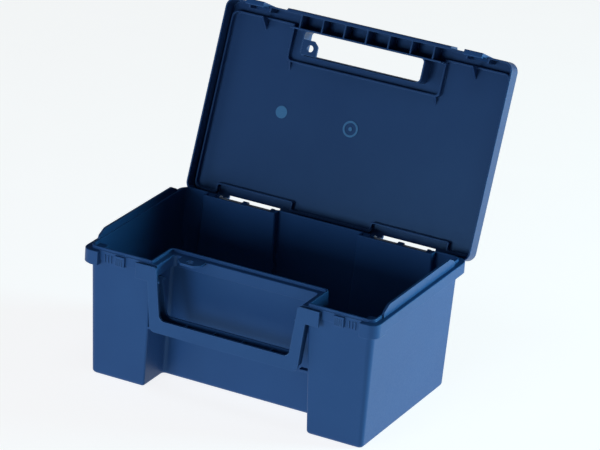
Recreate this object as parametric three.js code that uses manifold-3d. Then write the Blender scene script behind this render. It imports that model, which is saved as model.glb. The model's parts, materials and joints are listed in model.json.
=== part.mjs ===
// Moulded polypropylene toolbox: a drafted tub with a hand bay, a fixed front handle, and a hinged lid with
// two latches. Millimetres, +Z up, front towards -Y. The origin is the middle of the tub's underside.
// The lid is built shut, in world coordinates, and a group then turns it open about the hinge pins.
import * as THREE from "three";
import { mergeVertices } from "three/addons/utils/BufferGeometryUtils.js";
import Module from "manifold-3d";

// Driving dimensions: overall
const tubWidth = 308; // over the walls at the rim
const tubDepth = 188;
const tubHeight = 134;
const wallDraft = 5; // how far each wall leans in from the rim to the floor
const wall = 2;
const floorThickness = 2.4;
const clearance = 0.6; // between pieces that move past each other
const seatGap = 0.3; // between pieces that touch

// Rim flange, skirt and seal rib
const flangeReach = 6;
const flangeThickness = 2.2;
const skirtDepth = 12;
const rimEdge = 0.8; // bevel along the rim's top edge
const sealRibHeight = 3;
const rimCornerRadius = 10;
const wallCornerRadius = 7;
const footCornerRadius = 5;
const footEdge = 3; // chamfer round the tub's foot, and where the inner walls meet the floor

// Raised guide walls on the short sides
const guideThickness = 1.8;
const guideHeight = 10.5;
const guideEndInset = 17.5; // from the tub's front and back walls to the guide's ends
const guideRampLength = 11;
const guideFoot = 0.5; // how deep the guide is rooted in the seal rib

// Hand bay in the front
const bayWidth = 169;
const bayDepth = 39;
const bayCornerRadius = 4;
const stepCornerRadius = 2; // where a wall steps into the bay or round a hinge

// Front handle
const handleDrop = 67.5; // from the rim down to the handle's underside
const handleDepth = 16;
const handleWall = 2.4;
const gripHeight = 13.4;
const armWidth = 10;
const armTaper = 6.5; // how far each arm leans in from the rim to the grip
const plateOverBay = 2.4; // the front plate's reach past the bay's side, at the rim
const armOverhang = 3.5; // the front plate stands out past the arm's hollow body
const earWidth = 13;
const earHeight = 16.5;
const handleRibPitch = 31;
const handleRibCount = 4;
const handleRibThickness = 1.6;
const handleRibDrop = 3; // from the grip's top edge down to its ribs
const handleCornerRadius = 5;
const handleTieGap = 0.8; // from the bay's side to the ties that join the arms to the ears
const handleRestInset = 3; // from the tub's front wall back to the shelf under each arm
const handleRestDepth = 6;
const handleRestThickness = 2.4;

// Latch zones and corner blocks of the rim
const latchWidth = 20;
const latchZoneProud = 1;
const latchZoneDepth = 9.5;
const cornerBlockWidth = 18.1;
const cornerBlockLength = 22;
const cornerBlockDepth = 14.5;
const frontEdgeDrop = 0.5; // catch pads and corner blocks stop this far below the rim's top
const catchWidth = 11;
const catchProud = 2.7;
const catchHeight = 10.5;
const catchOffset = 2; // the pad sits this far towards the middle of the box from its latch's centre
const guideRibCount = 3;
const guideRibPitch = 3.4;
const guideRibThickness = 1.2;
const guideRibProud = 1;
const guideRibGap = 4; // from the pad to the first rib
const guideRibDrop = 3; // from the rim's top down to the ribs

// Padlock eyes
const eyeDiameter = 7;
const eyeInset = 27.5; // from the bay's side to the eye
const eyeReach = 7.5; // from the bay flange's edge to the eye
const eyeTabWidth = 26;
const eyeTabReach = 15;
const eyeTabSlope = 6; // how far the tab's sides lean in towards its tip
const eyeTabCorner = 3;
const lidEyeSide = 8; // from the eye to the lid tab's side
const lidEyeFront = 8; // from the eye forward to the lid tab's tip
const lidEyeSlope = 5;

// Hinges
const hingeSideInset = 28; // from the tub's side in to the recess round each hinge
const hingeWindow = 26;
const hingeKnuckle = 6;
const hingeLug = 3.4;
const hingeWeb = 5; // height of the web that carries a knuckle
const hingeBarrel = 6.5; // outside diameter of a knuckle
const pinDiameter = 3;
const pinPlay = 0.15; // radial
const hingeDrop = 3; // from the rim down to the pin
const hingeInset = 1.5; // from the rim's back edge forward to the pin
const hingeRecess = 9; // how far the back wall steps in
const hingeWindowDepth = 3.5; // how far the lid's back edge is cut away

// Lid
const lidHeight = 18.5;
const lidPlate = 2.2;
const lidSkirt = 1.8;
const lidSideInset = 1; // from the rim's side edge in to the lid's
const lidFrontOverhang = 1;
const lidBackInset = 0.5;
const lidOpenAngle = 110;
const lidDraft = 0.4;
const lidCrown = 1.2;
const innerRib = 1.8;
const innerRibHeight = 5.5;
const innerRibSideOutset = 1.2; // from the tub's sides and back out to the rib
const innerRibFrontInset = 4.8; // from the tub's front wall in to the rib
const innerRibBayInset = 0.9; // from the bay's sides in to the rib
const innerRibBayGap = 2.4; // from the bay's back wall to the rib
const gussetThickness = 1.8;
const gussetInset = 4; // from the bay rib's outer face in to the gusset at its corner
const gussetLength = 9.5;
const latchGussetOffset = 4.2; // from a latch's centre in to the tall gusset behind it
const latchGussetLength = 13;

// Hand hole and grip bar in the lid
const handHoleInset = 18.5; // from the bay's side in to the hole's end
const handHoleLength = 23;
const handHoleCorner = 3.5;
const gripBarWidth = 16.5;
const gripBarProud = 2;
const gripBarMargin = 5.6; // the bar runs on past the rib that goes round the bay
const gripRibPitch = 24.6;
const gripRibCount = 7;
const gripRibThickness = 1.6;
const collarThickness = 1.8;
const rootDepth = 0.5; // how deep ribs and walls are rooted in the plate that they stand on

// Latch lever
const latchThickness = 3;
const latchHookHeight = 3;
const latchHookGrip = 2.3; // how far the hook reaches in under the catch pad
const latchTopDrop = 3; // from the lid's underside down to the latch's pivot
const latchTopGap = 0.4; // from the latch's rounded top to the lid's underside
const latchEdge = 1; // chamfer of the hook's tip
const trunnionDiameter = 3;
const cheekThickness = 2;
const latchRestAngle = 6; // swung out from its latched place while the lid is open

// Sizes that follow
const rimWidth = tubWidth + 2 * flangeReach;
const rimDepth = tubDepth + 2 * flangeReach;
const rimFront = -rimDepth / 2;
const rimBack = rimDepth / 2;
const wallFront = -tubDepth / 2;
const handleBottom = tubHeight - handleDrop;
const handlePlateHalf = bayWidth / 2 + plateOverBay;
const handleBodyTop = tubHeight - flangeThickness - skirtDepth;
const earEnd = handlePlateHalf + earWidth;
const latchZoneEnd = rimWidth / 2 - cornerBlockWidth;
const latchCentre = (earEnd + latchZoneEnd) / 2;
const catchStart = latchCentre - catchWidth / 2 - catchOffset;
const catchTop = tubHeight - frontEdgeDrop;
const catchBottom = catchTop - catchHeight;
const bayBack = wallFront + bayDepth;
const lidBottom = tubHeight + seatGap;
const lidTop = lidBottom + lidHeight;
const lidUnderside = lidTop - lidPlate;
const lidWidth = rimWidth - 2 * lidSideInset;
const lidFront = rimFront - lidFrontOverhang;
const lidBack = rimBack - lidBackInset;
const hingeY = rimBack - hingeInset;
const hingeZ = tubHeight - hingeDrop;
const hingeHalf = hingeKnuckle / 2 + hingeWindow; // from the hinge's middle to its end lugs
const recessWidth = 2 * (hingeHalf + hingeLug + clearance + flangeReach);
const hingeCentre = tubWidth / 2 - hingeSideInset - recessWidth / 2;
const handHoleHalf = bayWidth / 2 - handHoleInset;
const handHoleFront = lidFront + gripBarWidth;
const handHoleBack = handHoleFront + handHoleLength;
const innerRibFront = wallFront + innerRibFrontInset;
const innerRibBack = bayBack + innerRibBayGap;
const innerRibHalf = bayWidth / 2 - innerRibBayInset; // half the width between the rib's sides in the bay
const gripWallReach = innerRibHalf + innerRib;
const gripBarHalf = gripWallReach + gripBarMargin;
const eyeX = -bayWidth / 2 + eyeInset;
const eyeY = bayBack - flangeReach - eyeReach;
const latchBarrel = latchTopDrop - latchTopGap; // radius of the latch's rounded top
const latchHookTip = wallFront - latchZoneProud - catchProud + latchHookGrip;
const latchPivotY = lidFront + latchBarrel;
const latchPivotZ = lidUnderside - latchTopDrop;

const wasm = await Module();
wasm.setup();

// ---- Solids from three.js geometry ----

// A closed geometry as a manifold-3d solid.
function solid(geometry) {
  const bare = geometry.clone();
  bare.deleteAttribute("normal");
  bare.deleteAttribute("uv");
  const merged = mergeVertices(bare, 1e-4);
  return new wasm.Manifold(
    new wasm.Mesh({
      numProp: 3,
      vertProperties: merged.attributes.position.array,
      triVerts: new Uint32Array(merged.index.array),
    }),
  );
}

function join(...solids) {
  return solids.reduce((whole, next) => whole.add(next));
}

function cut(body, ...tools) {
  return tools.reduce((rest, tool) => rest.subtract(tool), body);
}

function box(x, y, z) {
  const geometry = new THREE.BoxGeometry(x[1] - x[0], y[1] - y[0], z[1] - z[0]);
  geometry.translate((x[0] + x[1]) / 2, (y[0] + y[1]) / 2, (z[0] + z[1]) / 2);
  return solid(geometry);
}

// A round bar along X.
function barX(x, y, z, diameter, segments = 16) {
  const geometry = new THREE.CylinderGeometry(diameter / 2, diameter / 2, x[1] - x[0], segments);
  geometry.rotateZ(Math.PI / 2);
  geometry.translate((x[0] + x[1]) / 2, y, z);
  return solid(geometry);
}

// A round bar along Z.
function barZ(x, y, z, diameter, segments = 20) {
  const geometry = new THREE.CylinderGeometry(diameter / 2, diameter / 2, z[1] - z[0], segments);
  geometry.rotateX(Math.PI / 2);
  geometry.translate(x, y, (z[0] + z[1]) / 2);
  return solid(geometry);
}

// An outline [[x, y, radius], ...], anticlockwise, as points with each corner rounded by an arc.
function roundedOutline(corners, steps = 3) {
  const points = [];
  corners.forEach(([x, y, radius], i) => {
    const here = new THREE.Vector2(x, y);
    const [bx, by] = corners.at(i - 1);
    const [ax, ay] = corners[(i + 1) % corners.length];
    const toBefore = new THREE.Vector2(bx - x, by - y).normalize();
    const toAfter = new THREE.Vector2(ax - x, ay - y).normalize();
    const halfAngle = Math.acos(toBefore.dot(toAfter)) / 2;
    const reach = radius / Math.tan(halfAngle);
    const start = here.clone().addScaledVector(toBefore, reach);
    const end = here.clone().addScaledVector(toAfter, reach);
    const middle = toBefore.clone().add(toAfter).normalize();
    const centre = here.clone().addScaledVector(middle, radius / Math.sin(halfAngle));
    const from = Math.atan2(start.y - centre.y, start.x - centre.x);
    let turn = Math.atan2(end.y - centre.y, end.x - centre.x) - from;
    turn = Math.atan2(Math.sin(turn), Math.cos(turn));
    for (let k = 0; k <= steps; k++) {
      const angle = from + (turn * k) / steps;
      const spoke = new THREE.Vector2(Math.cos(angle), Math.sin(angle));
      points.push(centre.clone().addScaledVector(spoke, radius));
    }
  });
  return points;
}

function extrude(points, depth) {
  return new THREE.ExtrudeGeometry(new THREE.Shape(points), { depth, bevelEnabled: false });
}

// An outline pulled straight up from z0 to z1.
function prism(points, z0, z1) {
  const geometry = extrude(points, z1 - z0);
  geometry.translate(0, 0, z0);
  return solid(geometry);
}

// An outline in the XZ plane, pulled back along +Y from y0 to y1.
function prismY(points, y0, y1) {
  const geometry = extrude(points, y1 - y0);
  geometry.rotateX(Math.PI / 2);
  geometry.translate(0, y1, 0);
  return solid(geometry);
}

// An outline in the YZ plane, pulled along +X from x0 to x1.
function prismX(points, x0, x1) {
  const geometry = extrude(points, x1 - x0);
  geometry.applyMatrix4(new THREE.Matrix4().set(0, 0, 1, 0, 1, 0, 0, 0, 0, 1, 0, 0, 0, 0, 0, 1));
  geometry.translate(x0, 0, 0);
  return solid(geometry);
}

// A skin through outlines of equal point count at rising heights, closed at both ends.
function loft(levels) {
  const count = levels[0].points.length;
  const positions = levels.flatMap(({ z, points }) => points.flatMap((p) => [p.x, p.y, z]));
  const cap = THREE.ShapeUtils.triangulateShape(levels[0].points, []);
  const capTop = THREE.ShapeUtils.triangulateShape(levels.at(-1).points, []);
  const last = (levels.length - 1) * count;
  const index = cap.flatMap(([a, b, c]) => [a, c, b]);
  index.push(...capTop.flatMap((face) => face.map((i) => i + last)));
  for (let level = 0; level + 1 < levels.length; level++) {
    for (let i = 0; i < count; i++) {
      const a = level * count + i;
      const b = level * count + ((i + 1) % count);
      index.push(a, b, b + count, a, b + count, a + count);
    }
  }
  const geometry = new THREE.BufferGeometry();
  geometry.setAttribute("position", new THREE.Float32BufferAttribute(positions, 3));
  geometry.setIndex(index);
  return solid(geometry);
}

function both(make) {
  return join(make(1), make(-1));
}

function spanX(side, near, far) {
  return side > 0 ? [near, far] : [-far, -near];
}

// ---- Outlines of the tub ----

// A plan with the bay in its front and the hinge recesses in its back, drawn in by inset.
function bayedOutline(plan, inset, cornerRadius) {
  const x = plan.side - inset;
  const front = plan.front + inset;
  const y = plan.back - inset;
  const bay = plan.bayHalf + inset;
  const back = plan.bayBack + inset;
  const near = hingeCentre - plan.recessHalf - inset;
  const far = hingeCentre + plan.recessHalf + inset;
  const step = y - hingeRecess;
  return roundedOutline([
    [-x, front, cornerRadius],
    [-bay, front, stepCornerRadius],
    [-bay, back, bayCornerRadius],
    [bay, back, bayCornerRadius],
    [bay, front, stepCornerRadius],
    [x, front, cornerRadius],
    [x, y, cornerRadius],
    [far, y, stepCornerRadius],
    [far, step, stepCornerRadius],
    [near, step, stepCornerRadius],
    [near, y, stepCornerRadius],
    [-near, y, stepCornerRadius],
    [-near, step, stepCornerRadius],
    [-far, step, stepCornerRadius],
    [-far, y, stepCornerRadius],
    [-x, y, cornerRadius],
  ]);
}

function tubOutline(inset, cornerRadius) {
  const plan = {
    side: tubWidth / 2,
    front: wallFront,
    back: tubDepth / 2,
    bayHalf: bayWidth / 2,
    bayBack,
    recessHalf: recessWidth / 2,
  };
  return bayedOutline(plan, inset, cornerRadius);
}

function draftAt(z) {
  return wallDraft * (1 - z / tubHeight);
}

// ---- Tub ----

function tubShell() {
  const ribTop = tubHeight + sealRibHeight;
  const outer = loft([
    { z: 0, points: tubOutline(wallDraft + footEdge, footCornerRadius) },
    { z: footEdge, points: tubOutline(draftAt(footEdge), footCornerRadius) },
    { z: ribTop, points: tubOutline(draftAt(ribTop), wallCornerRadius) },
  ]);
  const inside = floorThickness + footEdge;
  const above = ribTop + 1;
  const inner = loft([
    { z: floorThickness, points: tubOutline(wallDraft + footEdge + wall, footCornerRadius - wall / 2) },
    { z: inside, points: tubOutline(draftAt(inside) + wall, footCornerRadius - wall / 2) },
    { z: above, points: tubOutline(draftAt(above) + wall, wallCornerRadius - wall) },
  ]);
  return { outer, inner };
}

function rimFlange() {
  const outline = tubOutline(-flangeReach, rimCornerRadius);
  const under = tubOutline(-flangeReach + wall, rimCornerRadius - wall);
  const skirtBottom = tubHeight - skirtDepth;
  const rim = loft([
    { z: skirtBottom, points: outline },
    { z: tubHeight - rimEdge, points: outline },
    { z: tubHeight, points: tubOutline(-flangeReach + rimEdge, rimCornerRadius) },
  ]);
  return cut(rim, prism(under, skirtBottom - 1, tubHeight - flangeThickness));
}

// Everything of the rim in front of the handle's ears and the latch zones is cut away.
function rimFrontCut() {
  const height = [tubHeight - cornerBlockDepth - 1, tubHeight + 1];
  const depth = [rimFront - 1, wallFront - latchZoneProud];
  return both((side) => box(spanX(side, bayWidth / 2 - flangeReach - 1, latchZoneEnd), depth, height));
}

// The rim's strip, catch pad and three guide ribs of a latch zone.
function latchZone(side) {
  const bottom = tubHeight - latchZoneDepth;
  const face = wallFront - latchZoneProud;
  const catchEnd = catchStart + catchWidth;
  const strip = box(spanX(side, earEnd, latchZoneEnd), [face, wallFront + 1], [bottom, tubHeight]);
  const pad = box(spanX(side, catchStart, catchEnd), [face - catchProud, wallFront], [catchBottom, catchTop]);
  const ribs = Array.from({ length: guideRibCount }, (_, i) => {
    const x = catchEnd + guideRibGap + guideRibPitch * i;
    return box(
      spanX(side, x, x + guideRibThickness),
      [face - guideRibProud, wallFront],
      [bottom - guideRibProud, tubHeight - guideRibDrop],
    );
  });
  return join(strip, pad, ...ribs);
}

// The deeper corner block at each end of the rim's front.
function cornerBlock(side) {
  const outer = rimWidth / 2;
  const back = rimFront + cornerBlockLength;
  const points = roundedOutline([
    [latchZoneEnd, rimFront, frontEdgeDrop],
    [outer, rimFront, rimCornerRadius],
    [outer, back, frontEdgeDrop],
    [latchZoneEnd, back, frontEdgeDrop],
  ]);
  const placed = side > 0 ? points : points.map((p) => new THREE.Vector2(-p.x, p.y)).reverse();
  return prism(placed, tubHeight - cornerBlockDepth, catchTop);
}

function guideWall(side) {
  const back = tubDepth / 2 - guideEndInset;
  const front = -back;
  const low = tubHeight - flangeThickness / 2;
  const high = tubHeight + guideHeight;
  const foot = tubWidth / 2 - guideFoot;
  const profile = [
    [front, low],
    [back, low],
    [back, high - guideHeight / 2],
    [back - guideRampLength, high],
    [front + guideRampLength, high],
    [front, high - guideHeight / 2],
  ].map(([y, z]) => new THREE.Vector2(y, z));
  const [x0, x1] = spanX(side, foot, tubWidth / 2 + guideThickness);
  return prismX(profile, x0, x1);
}

function padlockTab(z0, z1) {
  const left = eyeX - eyeTabWidth / 2;
  const right = eyeX + eyeTabWidth / 2;
  const root = bayBack - flangeReach + 1;
  const tip = bayBack - flangeReach - eyeTabReach;
  const side = tip + eyeTabSlope;
  const points = roundedOutline([
    [left, root, rootDepth],
    [left, side, eyeTabCorner],
    [left + eyeTabSlope, tip, eyeTabCorner],
    [right - eyeTabSlope, tip, eyeTabCorner],
    [right, side, eyeTabCorner],
    [right, root, rootDepth],
  ]);
  return prism(points, z0, z1);
}

// The knuckle between a hinge's two windows, on a web from the recessed rim.
function tubKnuckle(side) {
  const x = spanX(side, hingeCentre - hingeKnuckle / 2, hingeCentre + hingeKnuckle / 2);
  const height = [hingeZ - hingeWeb / 2, hingeZ + hingeWeb / 2];
  const web = box(x, [rimBack - hingeRecess - wall / 2, hingeY], height);
  return join(barX(x, hingeY, hingeZ, hingeBarrel), web);
}

// A small shelf on each side of the bay, under the handle's lower corners.
function handleRest(side) {
  const z = handleBottom - seatGap;
  const bayAtShelf = bayWidth / 2 + draftAt(z);
  const front = wallFront + handleRestInset;
  return box(
    spanX(side, bayWidth / 2 - armTaper, bayAtShelf + wall / 2),
    [front, front + handleRestDepth],
    [z - handleRestThickness, z],
  );
}

function makeTub() {
  const { outer, inner } = tubShell();
  const underRim = tubHeight - flangeThickness;
  const eye = barZ(eyeX, eyeY, [underRim - 1, tubHeight + 1], eyeDiameter);
  const eyeTab = cut(padlockTab(underRim, tubHeight), eye);
  const rim = cut(rimFlange(), rimFrontCut());
  const body = join(
    outer,
    rim,
    both(latchZone),
    both(cornerBlock),
    both(guideWall),
    both(tubKnuckle),
    both(handleRest),
    eyeTab,
  );
  const pinHoles = both((side) =>
    barX(
      spanX(side, hingeCentre - hingeHalf, hingeCentre + hingeHalf),
      hingeY,
      hingeZ,
      pinDiameter + 2 * pinPlay,
    ),
  );
  return cut(body, inner, pinHoles);
}

// ---- Front handle ----

// The U-shaped outline of the handle in the XZ plane; its top is open.
function handleU(half, width, inset, top, radius) {
  const bottom = handleBottom + inset;
  const outer = half - inset;
  const inner = half - width;
  const grip = handleBottom + gripHeight;
  return roundedOutline([
    [armTaper - outer, bottom, radius],
    [outer - armTaper, bottom, radius],
    [outer, top, seatGap],
    [inner, top, seatGap],
    [inner - armTaper, grip, radius],
    [armTaper - inner, grip, radius],
    [-inner, top, seatGap],
    [-outer, top, seatGap],
  ]);
}

// The flat front plate, and the ear at the top of each arm.
function handlePlate() {
  const top = tubHeight - seatGap;
  const depth = [rimFront, rimFront + handleWall];
  const plate = prismY(handleU(handlePlateHalf, armWidth, 0, top, handleCornerRadius), ...depth);
  const ears = both((side) =>
    box(spanX(side, handlePlateHalf - 1, earEnd - seatGap), depth, [tubHeight - earHeight, top]),
  );
  return join(plate, ears);
}

// The hollow body behind the plate, a channel open towards the inside of the U.
function handleBody() {
  const half = handlePlateHalf - armOverhang;
  const front = rimFront + handleWall / 2;
  const back = rimFront + handleDepth;
  const body = prismY(
    handleU(half, armWidth - armOverhang, 0, handleBodyTop, handleCornerRadius - 1),
    front,
    back,
  );
  const ties = both((side) =>
    box(
      spanX(side, bayWidth / 2 - flangeReach - armWidth / 2, bayWidth / 2 - seatGap - handleTieGap),
      [front, back],
      [handleBodyTop - handleWall, handleBodyTop],
    ),
  );
  const radius = handleCornerRadius - handleWall;
  const open = handleU(half, armWidth + handleCornerRadius, handleWall, handleBodyTop + 1, radius);
  const channel = prismY(open, rimFront + handleWall, back - handleWall);
  return cut(join(body, ties), channel);
}

function gripRibs() {
  const start = (-(handleRibCount - 1) / 2) * handleRibPitch;
  const depth = [rimFront + handleWall / 2, rimFront + handleDepth - handleWall / 2];
  const height = [handleBottom + handleWall / 2, handleBottom + gripHeight - handleRibDrop];
  const ribs = Array.from({ length: handleRibCount }, (_, i) => {
    const x = start + i * handleRibPitch;
    return box([x - handleRibThickness / 2, x + handleRibThickness / 2], depth, height);
  });
  return join(...ribs);
}

function makeHandle() {
  return join(handleBody(), handlePlate(), gripRibs());
}

// ---- Lid, shut ----

function lidOutline(inset, radius) {
  const x = lidWidth / 2 - inset;
  const front = lidFront + inset;
  const back = lidBack - inset;
  return roundedOutline([
    [-x, front, radius],
    [x, front, radius],
    [x, back, radius],
    [-x, back, radius],
  ], 5);
}

function lidShell() {
  const outer = loft([
    { z: lidBottom, points: lidOutline(0, rimCornerRadius) },
    { z: lidTop - lidCrown, points: lidOutline(lidDraft, rimCornerRadius) },
    { z: lidTop, points: lidOutline(lidDraft + lidCrown, rimCornerRadius - lidCrown) },
  ]);
  const inner = prism(lidOutline(lidSkirt, rimCornerRadius - lidSkirt), lidBottom - 1, lidUnderside);
  return cut(outer, inner);
}

// The low rib that stiffens the lid's plate and follows the tub's rim round the bay and the hinges.
function innerRibLoop() {
  const bottom = lidUnderside - innerRibHeight;
  const plan = {
    side: tubWidth / 2 + innerRibSideOutset,
    front: innerRibFront,
    back: tubDepth / 2 + innerRibSideOutset,
    bayHalf: innerRibHalf,
    bayBack: innerRibBack,
    recessHalf: recessWidth / 2 + wall + clearance,
  };
  const outline = bayedOutline(plan, 0, wallCornerRadius - wall);
  const inside = bayedOutline(plan, innerRib, footCornerRadius - wall / 2);
  return cut(prism(outline, bottom, lidUnderside + rootDepth), prism(inside, bottom - 1, lidUnderside + 1));
}

// A triangular gusset that stands on the plate and leans against a rib at its front.
function gusset(side, x, front, length, bottom) {
  const top = lidUnderside + rootDepth;
  const profile = [
    [front, bottom],
    [front + length, top - rootDepth],
    [front + length, top],
    [front, top],
  ].map(([y, z]) => new THREE.Vector2(y, z));
  return prismX(profile, ...spanX(side, x - gussetThickness / 2, x + gussetThickness / 2));
}

function lidGussets(side) {
  const corner = gusset(
    side,
    gripWallReach - gussetInset,
    innerRibBack + innerRib / 2,
    gussetLength,
    lidUnderside - innerRibHeight,
  );
  const behindLatch = gusset(
    side,
    latchCentre - latchGussetOffset,
    innerRibFront,
    latchGussetLength,
    lidBottom,
  );
  return join(corner, behindLatch);
}

function gripBar() {
  const backWall = [handHoleFront - collarThickness, handHoleFront];
  const height = [lidBottom, lidUnderside + rootDepth];
  const front = [lidFront - gripBarProud, lidFront + lidSkirt];
  const proud = box([-gripBarHalf, gripBarHalf], front, [lidBottom, lidTop - lidCrown]);
  const start = (-(gripRibCount - 1) / 2) * gripRibPitch;
  const ribs = Array.from({ length: gripRibCount }, (_, i) => {
    const x = start + i * gripRibPitch;
    return box(
      [x - gripRibThickness / 2, x + gripRibThickness / 2],
      [lidFront + lidSkirt / 2, handHoleFront - collarThickness / 2],
      [lidBottom + frontEdgeDrop, height[1]],
    );
  });
  // The back wall steps up over the tub's seal rib to meet the inner rib loop.
  const low = bayWidth / 2 - clearance;
  const overRib = tubHeight + sealRibHeight + clearance;
  const lowWall = box([-low, low], backWall, height);
  const highWall = box([-gripWallReach, gripWallReach], backWall, [overRib, height[1]]);
  return join(proud, lowWall, highWall, ...ribs);
}

// The hand hole's outline, let out by grow.
function handHoleOutline(grow) {
  const half = handHoleHalf + grow;
  const front = handHoleFront - grow;
  const back = handHoleBack + grow;
  return roundedOutline([
    [-half, front, handHoleCorner + grow],
    [half, front, handHoleCorner + grow],
    [half, back, handHoleCorner + grow],
    [-half, back, handHoleCorner + grow],
  ]);
}

function handHole() {
  return prism(handHoleOutline(0), lidBottom - 1, lidTop + 1);
}

function handHoleCollar() {
  return prism(handHoleOutline(collarThickness), lidBottom, lidUnderside + rootDepth);
}

function lidEyeTab() {
  const left = -handHoleHalf - rootDepth;
  const right = eyeX + lidEyeSide;
  const root = handHoleBack + rootDepth;
  const tip = eyeY - lidEyeFront;
  const points = roundedOutline([
    [left, root, seatGap],
    [left, tip, seatGap],
    [right - lidEyeSlope, tip, eyeTabCorner],
    [right, tip + lidEyeSlope, eyeTabCorner],
    [right, root, seatGap],
  ]);
  return prism(points, lidBottom, lidBottom + flangeThickness);
}

// A latch pocket: the skirt is cut away between two cheeks that carry the latch's trunnions.
function latchPocket(side) {
  const half = latchWidth / 2 + clearance;
  return box(
    spanX(side, latchCentre - half, latchCentre + half),
    [lidFront - 1, lidFront + lidSkirt + clearance],
    [lidBottom - 1, lidUnderside],
  );
}

function latchCheeks(side) {
  const half = latchWidth / 2 + clearance;
  return join(
    ...[latchCentre - half - cheekThickness, latchCentre + half].map((x) =>
      box(
        spanX(side, x, x + cheekThickness),
        [lidFront + lidSkirt / 2, wallFront - clearance],
        [lidBottom, lidUnderside + rootDepth],
      ),
    ),
  );
}

function latchHoles(side) {
  const half = latchWidth / 2 + clearance + cheekThickness + 1;
  const x = spanX(side, latchCentre - half, latchCentre + half);
  return barX(x, latchPivotY, latchPivotZ, trunnionDiameter + clearance);
}

// The end lugs of a hinge, which hang from the lid's back skirt on either side of the windows.
function lidLugs(side) {
  return join(
    ...[hingeCentre - hingeHalf - hingeLug, hingeCentre + hingeHalf].map((x) => {
      const width = spanX(side, x, x + hingeLug);
      const web = box(width, [hingeY - hingeWeb / 2, lidBack], [hingeZ, lidBottom + wall]);
      return join(barX(width, hingeY, hingeZ, hingeBarrel), web);
    }),
  );
}

function hingeWindows(side) {
  return box(
    spanX(side, hingeCentre - hingeHalf, hingeCentre + hingeHalf),
    [hingeY - hingeWindowDepth, lidBack + 1],
    [hingeZ - hingeBarrel, lidTop + 1],
  );
}

function makeLid() {
  const body = join(
    lidShell(),
    innerRibLoop(),
    both(lidGussets),
    gripBar(),
    handHoleCollar(),
    both(lidLugs),
  );
  const pinHoles = both((side) =>
    barX(
      spanX(side, hingeCentre - hingeHalf - hingeLug - 1, hingeCentre + hingeHalf + hingeLug + 1),
      hingeY,
      hingeZ,
      pinDiameter + 2 * pinPlay,
    ),
  );
  const opened = join(
    cut(body, handHole(), both(latchPocket), both(hingeWindows)),
    lidEyeTab(),
    both(latchCheeks),
  );
  const eye = barZ(eyeX, eyeY, [lidBottom - 5, lidBottom + 10], eyeDiameter);
  return cut(opened, both(latchHoles), pinHoles, eye);
}

// ---- Pins and latches ----

function makeHingePin(side) {
  const half = hingeHalf + hingeLug - seatGap;
  return barX(spanX(side, hingeCentre - half, hingeCentre + half), hingeY, hingeZ, pinDiameter);
}

function makeLatch(side) {
  const half = latchWidth / 2;
  const x = spanX(side, latchCentre - half, latchCentre + half);
  const hookTop = catchBottom - seatGap;
  const hookFoot = hookTop - latchHookHeight;
  const back = lidFront + latchThickness;
  const profile = [
    [lidFront, hookFoot + latchEdge],
    [lidFront + latchEdge, hookFoot],
    [latchHookTip - latchEdge, hookFoot],
    [latchHookTip, hookFoot + latchEdge],
    [latchHookTip, hookTop],
    [back, hookTop],
    [back, latchPivotZ - latchBarrel - latchEdge],
  ].map(([y, z]) => new THREE.Vector2(y, z));
  const arcSteps = 8;
  for (let i = 0; i <= arcSteps; i++) {
    const angle = (Math.PI * i) / arcSteps;
    const y = latchPivotY + latchBarrel * Math.cos(angle);
    profile.push(new THREE.Vector2(y, latchPivotZ + latchBarrel * Math.sin(angle)));
  }
  const reach = half + clearance + cheekThickness - seatGap;
  const trunnions = barX(
    spanX(side, latchCentre - reach, latchCentre + reach),
    latchPivotY,
    latchPivotZ,
    trunnionDiameter,
  );
  return join(prismX(profile, x[0], x[1]), trunnions);
}

// ---- Scene graph ----

const polypropylene = { color: 0x1f3350, roughness: 0.42, metalness: 0 };
const steel = { color: 0xb9bec4, roughness: 0.3, metalness: 1 };

function addMesh(parent, name, body, finish, pivot = new THREE.Vector3()) {
  const { vertProperties, triVerts } = body.getMesh();
  const geometry = new THREE.BufferGeometry();
  geometry.setAttribute("position", new THREE.Float32BufferAttribute(vertProperties, 3));
  geometry.setIndex(Array.from(triVerts));
  geometry.translate(-pivot.x, -pivot.y, -pivot.z);
  geometry.computeVertexNormals();
  const mesh = new THREE.Mesh(geometry, new THREE.MeshStandardMaterial(finish));
  mesh.name = name;
  parent.add(mesh);
}

const group = new THREE.Group();
addMesh(group, "tub", makeTub(), polypropylene);
addMesh(group, "carry_handle", makeHandle(), polypropylene);
addMesh(group, "hinge_pin_left", makeHingePin(-1), steel);
addMesh(group, "hinge_pin_right", makeHingePin(1), steel);

const hingeAxis = new THREE.Vector3(0, hingeY, hingeZ);
const lidGroup = new THREE.Group();
lidGroup.position.copy(hingeAxis);
lidGroup.rotation.x = -THREE.MathUtils.degToRad(lidOpenAngle);
group.add(lidGroup);
addMesh(lidGroup, "lid", makeLid(), polypropylene, hingeAxis);

const latchAxis = new THREE.Vector3(0, latchPivotY, latchPivotZ);
const latchGroup = new THREE.Group();
latchGroup.position.subVectors(latchAxis, hingeAxis);
latchGroup.rotation.x = -THREE.MathUtils.degToRad(latchRestAngle);
lidGroup.add(latchGroup);
addMesh(latchGroup, "latch_left", makeLatch(-1), polypropylene, latchAxis);
addMesh(latchGroup, "latch_right", makeLatch(1), polypropylene, latchAxis);

export default group;
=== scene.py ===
import json
import math

import bmesh
import bpy
from mathutils import Matrix, Vector


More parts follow.
